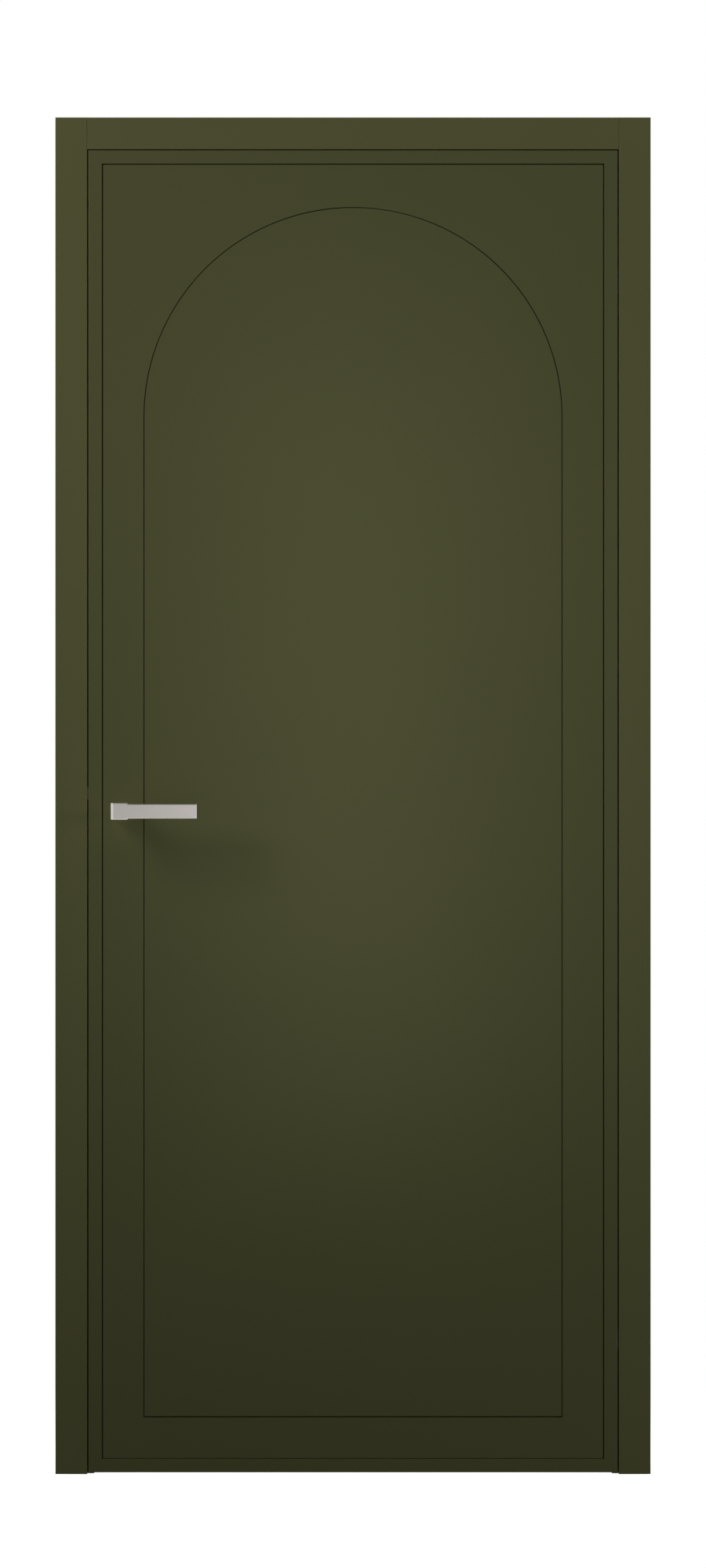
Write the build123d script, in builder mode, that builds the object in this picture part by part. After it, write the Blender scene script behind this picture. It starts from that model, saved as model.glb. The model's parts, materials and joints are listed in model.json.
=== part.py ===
from build123d import *
import math
import os

os.makedirs("parts", exist_ok=True)

# Interior door leaf, flush with its frame, with concealed hinges and a lever latch. Millimetres, +Z up.
# The front face looks along -Y and the floor is at zero.

# Leaf
leaf_width = 800
leaf_height = 2000
leaf_thickness = 44
leaf_edge_radius = 1.5
skin_thickness = 6
stile_width = 40
rail_width = 40
lock_block_width = 60
lock_block_height = 260
tube_radius = 12
tube_pitch = 33
edge_gap = 1.8
head_gap = 1.3
floor_gap = 2.5

# Milling in both skins
border_inset = 21.2
border_groove_width = 1.9
border_groove_depth = 4
border_sill_groove_width = 0.8
border_sill_groove_depth = 2
arch_side_inset = 84
arch_top_inset = 86.6
arch_sill_inset = 84.3
arch_groove_width = 1.4
arch_sill_groove_width = 1.8
arch_groove_depth = 3

# Frame
casing_width = 48.2
casing_thickness = 6
casing_edge_radius = 1
casing_joint_ease = 0.5
jamb_depth = 100
jamb_thickness = 32
stop_width = 10
seal_gap = 4
tongue_inset = 24
tongue_width = 4
tongue_depth = 10
tongue_clearance = 0.2

# Bulb seal
seal_inset = 5
bulb_radius = 3
bulb_wall = 1
stem_width = 2.6
stem_depth = 6
stem_clearance = 0.2
seal_clearance = 0.3

# Wall fixings through the jambs, in an outer and an inner pair
fixing_radius = 3.5
fixing_sink_radius = 7
fixing_depth = 27
fixing_end_distance = 100
inner_fixing_spacing = 600

# Screws that join the jambs to the head
corner_screw_head_radius = 5
corner_screw_radius = 2.5
corner_screw_length = 70
corner_screw_front_depth = 27
corner_screw_back_depth = 80

# Small screws, all with 90 degree heads
screw_head_radius = 3.5
screw_radius = 1.75
screw_length = 24
hinge_screw_head_radius = 4.5
hinge_screw_radius = 2.2
hinge_screw_length = 29
screw_clearance = 0.05
right_angle = 90

# Concealed hinges
opening_angle = 110
hinge_end_distance = 200
hinge_height = 110
hinge_wall = 1.2
hinge_back_wall = 2
hinge_fit = 0.1
hinge_room = 0.4
pivot_inset = 4.6
pivot_depth = 12
pivot_radius = 1.75
eye_radius = 3.2
arm_width = 4.4
arm_height = 16
arm_gap = 0.3
root_elbow_out = 1.5
root_elbow_back = 6
tail_elbow_inset = 2.5
guide_inset = 14
guide_radius = 1.4
guide_slot_room = 0.3
guide_slot_depth = 4
guide_reach = 3.4
tail_radius = 2.6
pin_seat = 8
hinge_screw_spacing = 76
adjuster_radius = 3
adjuster_length = 10
adjuster_spacing = 54
pin_clearance = 0.05

# Lever handles
backset = 47
lever_axis_height = 1000
lever_reach = 50
lever_length = 129.5
hub_size = 25
hub_bevel = 3.4
bar_height = 21.5
bar_thickness = 10
neck_radius = 6
lever_bevel = 0.9
journal_radius = 8
journal_depth = 4
rose_thickness = 4
rose_bevel = 0.8
rose_hole_radius = 10
rose_gap = 0.3
rose_screw_offset = 9.3
rose_screw_head_radius = 2.4
rose_screw_radius = 1.2
rose_screw_length = 14
spindle_size = 8
spindle_clearance = 0.05
spindle_insertion = 26
grub_radius = 2.5
grub_depth = 14
running_clearance = 0.05

# Mortise latch
faceplate_thickness = 3
faceplate_width = 20
faceplate_height = 130
faceplate_screw_spacing = 106
case_thickness = 16
case_depth = 72
case_below = 32
case_above = 48
case_wall = 1.5
case_room = 0.3
mortise_clearance = 0.2
follower_radius = 8
follower_journal_radius = 7
cam_radius = 14.3
cam_width = 6
cam_thickness = 8
cam_gap = 0.2
latch_throw = 9.5
latch_height = 18
latch_length = 32
latch_bevel = 7
latch_rise = 27
latch_tail_height = 8
lug_thickness = 5
lug_drop = 9

# Strike in the lock jamb
strike_thickness = 2
strike_width = 22
strike_height = 110
strike_screw_spacing = 84
strike_room = 1.2
strike_box_depth = 16
strike_box_wall = 1.5

# Levels and planes worked out from the sizes above
leaf_half = leaf_width / 2
leaf_bottom = floor_gap
leaf_top = leaf_bottom + leaf_height
opening_half = leaf_half + edge_gap
opening_top = leaf_top + head_gap
frame_half = opening_half + casing_width
frame_top = opening_top + casing_width
jamb_half = opening_half + jamb_thickness
jamb_top = opening_top + jamb_thickness
jamb_front = casing_thickness
jamb_back = jamb_front + jamb_depth
frame_depth = jamb_back + casing_thickness
stop_half = opening_half - stop_width
stop_top = opening_top - stop_width
stop_front = leaf_thickness + seal_gap
core_front = skin_thickness
core_back = leaf_thickness - skin_thickness
leaf_middle = leaf_thickness / 2
lever_x = backset - leaf_half
lever_z = leaf_bottom + lever_axis_height

# The leaf's front face, with the part's own depth centred on zero
front_y = (lever_reach - frame_depth) / 2


def front_view(depth):
    """Plane seen from the front at a depth behind the leaf's face; its normal looks at the viewer."""
    return Plane((0, front_y + depth, 0), x_dir=(1, 0, 0), z_dir=(0, -1, 0))


def plan_view(height):
    """Plane seen from above, with local y as the depth behind the leaf's face."""
    return Plane((0, front_y, height), x_dir=(1, 0, 0), z_dir=(0, 0, 1))


def side_view(x):
    """Plane across the door, with local x as depth and local y as height; its normal looks along +X."""
    return Plane((x, front_y, 0), x_dir=(0, 1, 0), z_dir=(1, 0, 0))


def seat(x, depth, height, direction):
    """Place of a screw head, facing along a direction."""
    return Plane((x, front_y + depth, height), z_dir=direction)


def keep(piece, name):
    """Labels a finished piece and writes it."""
    piece.label = name
    export_step(piece, f"parts/{name}.step")


def countersunk_screws(seats, head_radius, radius, length):
    """Group of plain screws with their heads flush with their seats."""
    with BuildPart() as screws:
        with Locations(*seats):
            Cylinder(radius, length, align=(Align.CENTER, Align.CENTER, Align.MAX))
            Cone(radius, head_radius, head_radius - radius, align=(Align.CENTER, Align.CENTER, Align.MAX))
    return screws.part


def mirrored(piece, plane):
    """The same piece made the other way round."""
    with BuildPart() as copy:
        mirror(piece, about=plane)
    return copy.part


# Places shared by several pieces
hinge_levels = {"lower": leaf_bottom + hinge_end_distance, "upper": leaf_top - hinge_end_distance}
outer_fixing_spacing = leaf_height - 2 * fixing_end_distance
fixing_heights = [
    (leaf_height + half * spacing) / 2
    for spacing in (outer_fixing_spacing, inner_fixing_spacing)
    for half in (-1, 1)
]
head_middle = opening_top + jamb_thickness / 2
corner_seats = [
    seat(side * jamb_half, depth, head_middle, (side, 0, 0))
    for side in (-1, 1)
    for depth in (corner_screw_front_depth, corner_screw_back_depth)
]
tongue_middle = tongue_inset + tongue_width / 2
mid_plane = front_view(leaf_middle)

# Hinge linkage: the leaf turns about a line in its front face, in the middle of the gap. That line, the two
# pivots and the centre pin are the corners of a rhombus, so each arm turns exactly as far as the leaf.
hinge_x = leaf_half + edge_gap / 2
pivot_x = edge_gap / 2 + pivot_inset
link_length = math.hypot(pivot_x, pivot_depth)
rest_angle = math.degrees(math.atan2(pivot_x, pivot_depth))
end_angle = math.radians(rest_angle + opening_angle)
guide_travel = pivot_depth - link_length * math.cos(end_angle)
pocket_front = pivot_depth - eye_radius - hinge_room
guide_depth = pocket_front + hinge_room + tail_radius + guide_travel
pocket_back = guide_depth + tail_radius + hinge_room
pocket_depth = guide_inset + tail_radius + hinge_room - edge_gap / 2
pocket_half = arm_gap + arm_height + arm_gap
hinge_front = pocket_front - hinge_wall
hinge_back = pocket_back + hinge_wall
hinge_width = hinge_back - hinge_front
hinge_middle = (hinge_front + hinge_back) / 2
hinge_depth = pocket_depth + hinge_back_wall


def hinge_plane(height, side):
    """A hinge's own frame: local x runs from the gap into the jamb or, turned over, into the leaf."""
    return Plane((hinge_x, front_y, height), x_dir=(side, 0, 0), z_dir=(0, 0, side))


def hinge_face(height, side):
    """The flush face of a hinge body, with local x as depth and its normal running into the wood."""
    own = hinge_plane(height, side)
    return Plane(own.from_local_coords((edge_gap / 2, 0, 0)), x_dir=own.y_dir, z_dir=own.x_dir)


def hinge_seats(side, spacing):
    """Seats above and below the middle of both hinges, in the flush faces on one side of the gap."""
    return [
        seat(hinge_x + side * edge_gap / 2, hinge_middle, level + half * spacing / 2, (-side, 0, 0))
        for level in hinge_levels.values()
        for half in (-1, 1)
    ]


def cut_hinge_mortises(side):
    """Routed pockets for both hinge bodies, with the pilot holes of their screws."""
    for level in hinge_levels.values():
        with BuildSketch(hinge_face(level, side)) as mortise:
            with Locations((hinge_middle, 0)):
                SlotOverall(hinge_height + 2 * hinge_fit, hinge_width + 2 * hinge_fit, rotation=right_angle)
        extrude(mortise.sketch, amount=hinge_depth + hinge_fit, mode=Mode.SUBTRACT)
    with Locations(*hinge_seats(side, hinge_screw_spacing)):
        Hole(hinge_screw_radius + screw_clearance, hinge_screw_length + screw_clearance)


# Strike and latch places
latch_z = lever_z + latch_rise
latch_width = case_thickness - 2 * case_wall - 2 * case_room
faceplate_z = lever_z + (case_above - case_below) / 2
strike_seats = [
    seat(-opening_half, leaf_middle, latch_z + half * strike_screw_spacing / 2, (1, 0, 0)) for half in (-1, 1)
]
faceplate_seats = [
    seat(-leaf_half, leaf_middle, faceplate_z + half * faceplate_screw_spacing / 2, (-1, 0, 0))
    for half in (-1, 1)
]
strike_hole_width = latch_width + 2 * strike_room
strike_hole_height = latch_height + 2 * strike_room
strike_box_width = strike_hole_width + 2 * strike_box_wall
strike_box_height = strike_hole_height + 2 * strike_box_wall


# Side jambs: rebated, grooved for the casing tongues and the seal
def side_jamb(side):
    with BuildPart() as jamb:
        with BuildSketch(plan_view(0)):
            with BuildLine():
                Polyline(
                    (side * opening_half, jamb_front),
                    (side * jamb_half, jamb_front),
                    (side * jamb_half, jamb_back),
                    (side * stop_half, jamb_back),
                    (side * stop_half, stop_front),
                    (side * opening_half, stop_front),
                    close=True,
                )
            make_face()
            with Locations(
                (side * (opening_half + tongue_middle), jamb_front),
                (side * (opening_half + tongue_middle), jamb_back),
            ):
                Rectangle(
                    tongue_width + 2 * tongue_clearance,
                    2 * (tongue_depth + tongue_clearance),
                    mode=Mode.SUBTRACT,
                )
            with Locations((side * (opening_half - seal_inset), stop_front)):
                Rectangle(
                    stem_width + 2 * stem_clearance,
                    2 * (stem_depth + stem_clearance),
                    mode=Mode.SUBTRACT,
                )
        extrude(amount=jamb_top)
        with Locations(*[seat(side * opening_half, fixing_depth, z, (-side, 0, 0)) for z in fixing_heights]):
            CounterSinkHole(fixing_radius, fixing_sink_radius, jamb_thickness, right_angle)
        with Locations(*[place for place in corner_seats if place.z_dir.X == side]):
            CounterSinkHole(
                corner_screw_radius + screw_clearance,
                corner_screw_head_radius + screw_clearance,
                jamb_thickness + stop_width,
                right_angle,
            )
        if side > 0:
            cut_hinge_mortises(side)
        else:
            cut_strike_pocket()
    return jamb.part


def cut_strike_pocket():
    """Recess for the strike plate, a deeper pocket for its box and pilot holes."""
    face = side_view(-opening_half)
    with BuildSketch(face) as recess:
        with Locations((leaf_middle, latch_z)):
            SlotOverall(strike_height + 2 * hinge_fit, strike_width + 2 * hinge_fit, rotation=right_angle)
    extrude(recess.sketch, amount=-strike_thickness, mode=Mode.SUBTRACT)
    with BuildSketch(face) as pocket:
        with Locations((leaf_middle, latch_z)):
            Rectangle(strike_box_width + 2 * hinge_fit, strike_box_height + 2 * hinge_fit)
    pocket_reach = strike_thickness + strike_box_depth + hinge_fit
    extrude(pocket.sketch, amount=-pocket_reach, mode=Mode.SUBTRACT)
    with Locations(*strike_seats):
        Hole(screw_radius + screw_clearance, screw_length + screw_clearance)


keep(side_jamb(-1), "lock_jamb")
keep(side_jamb(1), "hinge_jamb")

# Head jamb: the same section laid across, scribed over the side stops
with BuildPart() as head_jamb:
    with BuildSketch(side_view(-opening_half)):
        with BuildLine():
            Polyline(
                (jamb_front, opening_top),
                (jamb_front, jamb_top),
                (jamb_back, jamb_top),
                (jamb_back, stop_top),
                (stop_front, stop_top),
                (stop_front, opening_top),
                close=True,
            )
        make_face()
        with Locations((jamb_front, opening_top + tongue_middle), (jamb_back, opening_top + tongue_middle)):
            Rectangle(
                2 * (tongue_depth + tongue_clearance),
                tongue_width + 2 * tongue_clearance,
                mode=Mode.SUBTRACT,
            )
        with Locations((stop_front, opening_top - seal_inset)):
            Rectangle(2 * (stem_depth + stem_clearance), stem_width + 2 * stem_clearance, mode=Mode.SUBTRACT)
    extrude(amount=2 * opening_half)
    with BuildSketch(plan_view(jamb_top)):
        with Locations(*[(side * opening_half, (stop_front + jamb_back) / 2) for side in (-1, 1)]):
            Rectangle(2 * stop_width, jamb_back - stop_front)
    extrude(amount=-(jamb_top - stop_top), mode=Mode.SUBTRACT)
    with Locations(*corner_seats):
        Hole(corner_screw_radius + screw_clearance, corner_screw_length + screw_clearance)
keep(head_jamb.part, "head_jamb")

keep(
    countersunk_screws(corner_seats, corner_screw_head_radius, corner_screw_radius, corner_screw_length),
    "frame_corner_screws",
)


# Casings: a flat face with a tongue that is pressed into the jamb
def side_casing(side, outer, inner):
    """Upright casing; outer is the depth of its show face and inner that of its back."""
    tongue_end = inner + math.copysign(tongue_depth, inner - outer)
    with BuildPart() as casing:
        with BuildSketch(plan_view(0)):
            with Locations((side * (opening_half + frame_half) / 2, (outer + inner) / 2)):
                Rectangle(casing_width, casing_thickness)
        extrude(amount=frame_top)
        show_face = casing.faces().sort_by(Axis.Y)[0 if inner > outer else -1]
        fillet(show_face.edges().filter_by(Axis.Z), casing_edge_radius)
        with BuildSketch(plan_view(0)):
            with Locations((side * (opening_half + tongue_middle), (inner + tongue_end) / 2)):
                Rectangle(tongue_width, tongue_depth)
        extrude(amount=jamb_top)
    return casing.part


def head_casing(outer, inner):
    """Casing between the two uprights, with its tongue in the head jamb."""
    tongue_end = inner + math.copysign(tongue_depth, inner - outer)
    with BuildPart() as casing:
        with BuildSketch(side_view(-opening_half)):
            with Locations(((outer + inner) / 2, (opening_top + frame_top) / 2)):
                Rectangle(casing_thickness, casing_width)
        extrude(amount=2 * opening_half)
        show_face = casing.faces().sort_by(Axis.Y)[0 if inner > outer else -1]
        chamfer(show_face.edges().filter_by(Axis.Z), casing_joint_ease)
        show_face = casing.faces().sort_by(Axis.Y)[0 if inner > outer else -1]
        fillet(show_face.edges().filter_by(Axis.X), casing_edge_radius)
        reach = opening_half if inner > outer else stop_half
        with BuildSketch(side_view(-reach)):
            with Locations(((inner + tongue_end) / 2, opening_top + tongue_middle)):
                Rectangle(tongue_depth, tongue_width)
        extrude(amount=2 * reach)
    return casing.part


for place, outer, inner in (("front", 0, jamb_front), ("rear", frame_depth, jamb_back)):
    keep(side_casing(-1, outer, inner), f"{place}_casing_lock_side")
    keep(side_casing(1, outer, inner), f"{place}_casing_hinge_side")
    keep(head_casing(outer, inner), f"{place}_casing_head")

# Bulb seals: a hollow bulb on a stem that sits in the stop's groove
bulb_middle = leaf_thickness + seal_clearance + bulb_radius


def side_seal(side):
    line = side * (opening_half - seal_inset)
    with BuildPart() as seal:
        with BuildSketch(plan_view(0)):
            with Locations((line, bulb_middle)):
                Circle(bulb_radius)
                Circle(bulb_radius - bulb_wall, mode=Mode.SUBTRACT)
            with Locations((line, stop_front + bulb_radius)):
                Rectangle(2 * bulb_radius, 2 * bulb_radius, mode=Mode.SUBTRACT)
            with Locations((line, stop_front - bulb_wall / 2)):
                Rectangle(2 * (bulb_radius - bulb_wall), bulb_wall)
            with Locations((line, stop_front + stem_depth / 2)):
                Rectangle(stem_width, stem_depth)
        extrude(amount=opening_top)
    return seal.part


keep(side_seal(-1), "lock_side_seal")
keep(side_seal(1), "hinge_side_seal")

with BuildPart() as head_seal:
    seal_height = opening_top - seal_inset
    with BuildSketch(side_view(-stop_half)):
        with Locations((bulb_middle, seal_height)):
            Circle(bulb_radius)
            Circle(bulb_radius - bulb_wall, mode=Mode.SUBTRACT)
        with Locations((stop_front + bulb_radius, seal_height)):
            Rectangle(2 * bulb_radius, 2 * bulb_radius, mode=Mode.SUBTRACT)
        with Locations((stop_front - bulb_wall / 2, seal_height)):
            Rectangle(bulb_wall, 2 * (bulb_radius - bulb_wall))
        with Locations((stop_front + stem_depth / 2, seal_height)):
            Rectangle(stem_depth, stem_width)
    extrude(amount=2 * stop_half)
keep(head_seal.part, "head_seal")

# Strike plate, its box and screws
with BuildPart() as strike_plate:
    with BuildSketch(side_view(-opening_half)):
        with Locations((leaf_middle, latch_z)):
            SlotOverall(strike_height, strike_width, rotation=right_angle)
            Rectangle(strike_hole_width, strike_hole_height, mode=Mode.SUBTRACT)
    extrude(amount=-strike_thickness)
    with Locations(*strike_seats):
        CounterSinkHole(
            screw_radius + screw_clearance, screw_head_radius + screw_clearance, strike_thickness, right_angle
        )
keep(strike_plate.part, "strike_plate")

with BuildPart() as strike_box:
    with BuildSketch(side_view(-opening_half - strike_thickness)):
        with Locations((leaf_middle, latch_z)):
            Rectangle(strike_box_width, strike_box_height)
    extrude(amount=-strike_box_depth)
    mouth = strike_box.faces().sort_by(Axis.X)[-1]
    offset(amount=-strike_box_wall, openings=mouth)
keep(strike_box.part, "strike_box")
keep(countersunk_screws(strike_seats, screw_head_radius, screw_radius, screw_length), "strike_screws")


# Leaf skins: a milled border line and a milled arch
arch_half = leaf_half - arch_side_inset
arch_spring = leaf_top - arch_top_inset - arch_half
arch_sill = leaf_bottom + arch_sill_inset


def border_outline(grow, sill_grow):
    """Rectangle of the border line, grown outwards."""
    top = leaf_top - border_inset + grow
    bottom = leaf_bottom + border_inset - sill_grow
    with Locations((0, (top + bottom) / 2)):
        return Rectangle(leaf_width - 2 * border_inset + 2 * grow, top - bottom, mode=Mode.PRIVATE)


def arch_outline(grow, sill_grow):
    """Round-headed outline of the arch, grown outwards."""
    half = arch_half + grow
    bottom = arch_sill - sill_grow
    with BuildSketch(mode=Mode.PRIVATE) as outline:
        with BuildLine():
            Polyline((-half, arch_spring), (-half, bottom), (half, bottom), (half, arch_spring))
            CenterArc((0, arch_spring), half, 0, 2 * right_angle)
        make_face()
    return outline.sketch


def mill(outline, width, depth, sill_width, sill_depth, face):
    """Cuts a line along an outline: sides and top, then the sill run with its own width and depth."""
    with BuildSketch(face) as run:
        add(outline(width / 2, sill_width / 2))
        add(outline(-width / 2, sill_width / 2), mode=Mode.SUBTRACT)
    extrude(run.sketch, amount=-depth, mode=Mode.SUBTRACT)
    with BuildSketch(face) as sill_run:
        add(outline(-width / 2, sill_width / 2))
        add(outline(-width / 2, -sill_width / 2), mode=Mode.SUBTRACT)
    extrude(sill_run.sketch, amount=-sill_depth, mode=Mode.SUBTRACT)


def rose_seats(depth, direction):
    """Screw seats at two opposite corners of a rose."""
    return [
        seat(lever_x + turn * rose_screw_offset, depth, lever_z + turn * rose_screw_offset, direction)
        for turn in (-1, 1)
    ]


front_rose_seats = rose_seats(-rose_thickness, (0, -1, 0))
rear_rose_seats = rose_seats(leaf_thickness + rose_thickness, (0, 1, 0))

with BuildPart() as front_skin:
    with BuildSketch(front_view(0)):
        with Locations((0, (leaf_bottom + leaf_top) / 2)):
            Rectangle(leaf_width, leaf_height)
    extrude(amount=-skin_thickness)
    fillet(front_skin.faces().sort_by(Axis.Y)[0].edges(), leaf_edge_radius)
    mill(
        border_outline,
        border_groove_width,
        border_groove_depth,
        border_sill_groove_width,
        border_sill_groove_depth,
        front_view(0),
    )
    mill(
        arch_outline,
        arch_groove_width,
        arch_groove_depth,
        arch_sill_groove_width,
        arch_groove_depth,
        front_view(0),
    )
    with BuildSketch(front_view(0)):
        with Locations((lever_x, lever_z)):
            Circle(rose_hole_radius)
    extrude(amount=-skin_thickness, mode=Mode.SUBTRACT)
    with Locations(*front_rose_seats):
        Hole(rose_screw_radius + screw_clearance, rose_screw_length + screw_clearance)
keep(front_skin.part, "front_skin")
keep(mirrored(front_skin.part, mid_plane), "rear_skin")


# Inner frame of the leaf
def cut_lock_mortise():
    """Room for the latch case, the lever journals and the rose screws."""
    with BuildSketch(side_view(-leaf_half + faceplate_thickness)) as mortise:
        with Locations((leaf_middle, faceplate_z)):
            Rectangle(
                case_thickness + 2 * mortise_clearance, case_below + case_above + 2 * mortise_clearance
            )
    extrude(mortise.sketch, amount=case_depth + mortise_clearance, mode=Mode.SUBTRACT)
    with BuildSketch(front_view(0)) as lever_hole:
        with Locations((lever_x, lever_z)):
            Circle(rose_hole_radius)
    extrude(lever_hole.sketch, amount=-leaf_thickness, mode=Mode.SUBTRACT)
    with Locations(*front_rose_seats, *rear_rose_seats):
        Hole(rose_screw_radius + screw_clearance, rose_screw_length + screw_clearance)


def core_bar(left, right, bottom, top):
    """Plain bar between the two skins."""
    with BuildSketch(front_view(core_front)) as outline:
        with Locations(((left + right) / 2, (bottom + top) / 2)):
            Rectangle(right - left, top - bottom)
    extrude(outline.sketch, amount=-(core_back - core_front))


stile_inner = leaf_half - stile_width
core_bottom = leaf_bottom + rail_width
core_top = leaf_top - rail_width
block_inner = -stile_inner + lock_block_width
block_bottom = faceplate_z - lock_block_height / 2
block_top = faceplate_z + lock_block_height / 2

with BuildPart() as lock_stile:
    core_bar(-leaf_half, -stile_inner, leaf_bottom, leaf_top)
    with BuildSketch(side_view(-leaf_half)):
        with Locations((leaf_middle, faceplate_z)):
            SlotOverall(
                faceplate_height + 2 * hinge_fit, faceplate_width + 2 * hinge_fit, rotation=right_angle
            )
    extrude(amount=faceplate_thickness, mode=Mode.SUBTRACT)
    cut_lock_mortise()
    with Locations(*faceplate_seats):
        Hole(screw_radius + screw_clearance, screw_length + screw_clearance)
keep(lock_stile.part, "lock_stile")

with BuildPart() as hinge_stile:
    core_bar(stile_inner, leaf_half, leaf_bottom, leaf_top)
    cut_hinge_mortises(-1)
keep(hinge_stile.part, "hinge_stile")

with BuildPart() as top_rail:
    core_bar(-stile_inner, stile_inner, core_top, leaf_top)
keep(top_rail.part, "top_rail")

with BuildPart() as bottom_rail:
    core_bar(-stile_inner, stile_inner, leaf_bottom, core_bottom)
keep(bottom_rail.part, "bottom_rail")

with BuildPart() as lock_block:
    core_bar(-stile_inner, block_inner, block_bottom, block_top)
    cut_lock_mortise()
keep(lock_block.part, "lock_block")

# Core board with a row of upright tubes, cut round the lock block
with BuildPart() as leaf_core:
    with BuildSketch(plan_view(core_bottom)):
        with Locations((0, leaf_middle)):
            Rectangle(2 * stile_inner, core_back - core_front)
        tube_count = int((stile_inner - block_inner) / tube_pitch)
        with Locations(((stile_inner + block_inner) / 2, leaf_middle)):
            with GridLocations(tube_pitch, 0, tube_count, 1):
                Circle(tube_radius, mode=Mode.SUBTRACT)
    extrude(amount=core_top - core_bottom)
    with BuildSketch(front_view(core_front)):
        with Locations(((block_inner - stile_inner) / 2, faceplate_z)):
            Rectangle(lock_block_width, lock_block_height)
    extrude(amount=-(core_back - core_front), mode=Mode.SUBTRACT)
keep(leaf_core.part, "leaf_core")

# Mortise latch: tray, cover and face plate
case_left = -leaf_half + faceplate_thickness
case_front = leaf_middle - case_thickness / 2
case_back = leaf_middle + case_thickness / 2
case_middle_x = case_left + case_depth / 2
latch_mouth_width = latch_width + 2 * case_room
latch_mouth_height = latch_height + 2 * case_room


def cut_latch_mouth():
    """Opening for the latch bolt through the front of the lock."""
    with BuildSketch(side_view(-leaf_half)) as mouth:
        with Locations((leaf_middle, latch_z)):
            Rectangle(latch_mouth_width, latch_mouth_height)
    extrude(mouth.sketch, amount=faceplate_thickness + case_wall, mode=Mode.SUBTRACT)


with BuildPart() as lock_case:
    with BuildSketch(front_view(case_front)):
        with Locations((case_middle_x, faceplate_z)):
            Rectangle(case_depth, case_below + case_above)
    extrude(amount=-(case_thickness - case_wall))
    offset(amount=-case_wall, openings=lock_case.faces().sort_by(Axis.Y)[-1])
    with BuildSketch(front_view(case_front)):
        with Locations((lever_x, lever_z)):
            Circle(follower_journal_radius + running_clearance)
    extrude(amount=-case_wall, mode=Mode.SUBTRACT)
    cut_latch_mouth()
keep(lock_case.part, "lock_case")

with BuildPart() as lock_case_cover:
    with BuildSketch(front_view(case_back - case_wall)):
        with Locations((case_middle_x, faceplate_z)):
            Rectangle(case_depth, case_below + case_above)
        with Locations((lever_x, lever_z)):
            Circle(follower_journal_radius + running_clearance, mode=Mode.SUBTRACT)
    extrude(amount=-case_wall)
keep(lock_case_cover.part, "lock_case_cover")

with BuildPart() as lock_faceplate:
    with BuildSketch(side_view(-leaf_half)):
        with Locations((leaf_middle, faceplate_z)):
            SlotOverall(faceplate_height, faceplate_width, rotation=right_angle)
    extrude(amount=faceplate_thickness)
    cut_latch_mouth()
    with Locations(*faceplate_seats):
        CounterSinkHole(
            screw_radius + screw_clearance,
            screw_head_radius + screw_clearance,
            faceplate_thickness,
            right_angle,
        )
keep(lock_faceplate.part, "lock_faceplate")
keep(countersunk_screws(faceplate_seats, screw_head_radius, screw_radius, screw_length), "faceplate_screws")

# Latch bolt: bevelled head, tail over the follower and a lug that the cam pushes
latch_tip = -leaf_half - latch_throw
head_end = latch_tip + latch_length
tail_bottom = latch_z - latch_height / 2
lug_front = lever_x + cam_width / 2 + cam_gap
lug_end = lug_front + lug_thickness

with BuildPart() as latch_bolt:
    with BuildSketch(plan_view(tail_bottom)):
        with Locations(((latch_tip + head_end) / 2, leaf_middle)):
            Rectangle(latch_length, latch_width)
    extrude(amount=latch_height)
    back_edge = latch_bolt.edges().filter_by(Axis.Z).group_by(Axis.X)[0].sort_by(Axis.Y)[-1]
    chamfer(back_edge, latch_bevel)
    with BuildSketch(front_view(leaf_middle - cam_thickness / 2)):
        with BuildLine():
            Polyline(
                (head_end, tail_bottom),
                (head_end, tail_bottom + latch_tail_height),
                (lug_end, tail_bottom + latch_tail_height),
                (lug_end, tail_bottom - lug_drop),
                (lug_front, tail_bottom - lug_drop),
                (lug_front, tail_bottom),
                close=True,
            )
        make_face()
    extrude(amount=-cam_thickness)
keep(latch_bolt.part, "latch_bolt")

# Follower: a hub with its cam upright at rest, and journals in the case walls
with BuildPart() as follower:
    with BuildSketch(front_view(case_front)):
        with Locations((lever_x, lever_z)):
            Circle(follower_journal_radius)
    extrude(amount=-case_thickness)
    with BuildSketch(front_view(case_front + case_wall + case_room)):
        with Locations((lever_x, lever_z)):
            Circle(follower_radius)
    extrude(amount=-latch_width)
    with BuildSketch(front_view(leaf_middle - cam_thickness / 2)):
        with Locations((lever_x, lever_z + cam_radius / 2)):
            SlotCenterToCenter(cam_radius, cam_width, rotation=right_angle)
    extrude(amount=-cam_thickness)
    with BuildSketch(front_view(case_front)):
        with Locations((lever_x, lever_z)):
            Rectangle(spindle_size + 2 * spindle_clearance, spindle_size + 2 * spindle_clearance)
    extrude(amount=-case_thickness, mode=Mode.SUBTRACT)
keep(follower.part, "follower")

# Roses: a thin square plate with a spigot in the leaf, bored for the lever's journal
with BuildPart() as front_rose:
    with BuildSketch(front_view(-rose_thickness)):
        with Locations((lever_x, lever_z)):
            Rectangle(hub_size, hub_size)
    extrude(amount=-rose_thickness)
    chamfer(front_rose.faces().sort_by(Axis.Y)[0].edges(), rose_bevel)
    with BuildSketch(front_view(0)):
        with Locations((lever_x, lever_z)):
            Circle(rose_hole_radius - running_clearance)
    extrude(amount=-skin_thickness)
    with BuildSketch(front_view(-rose_thickness)):
        with Locations((lever_x, lever_z)):
            Circle(journal_radius + running_clearance)
    extrude(amount=-(rose_thickness + skin_thickness), mode=Mode.SUBTRACT)
    with Locations(*front_rose_seats):
        CounterSinkHole(
            rose_screw_radius + screw_clearance,
            rose_screw_head_radius + screw_clearance,
            rose_thickness,
            right_angle,
        )
keep(front_rose.part, "front_rose")
keep(mirrored(front_rose.part, mid_plane), "rear_rose")
keep(
    countersunk_screws(
        front_rose_seats + rear_rose_seats, rose_screw_head_radius, rose_screw_radius, rose_screw_length
    ),
    "rose_screws",
)

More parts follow.
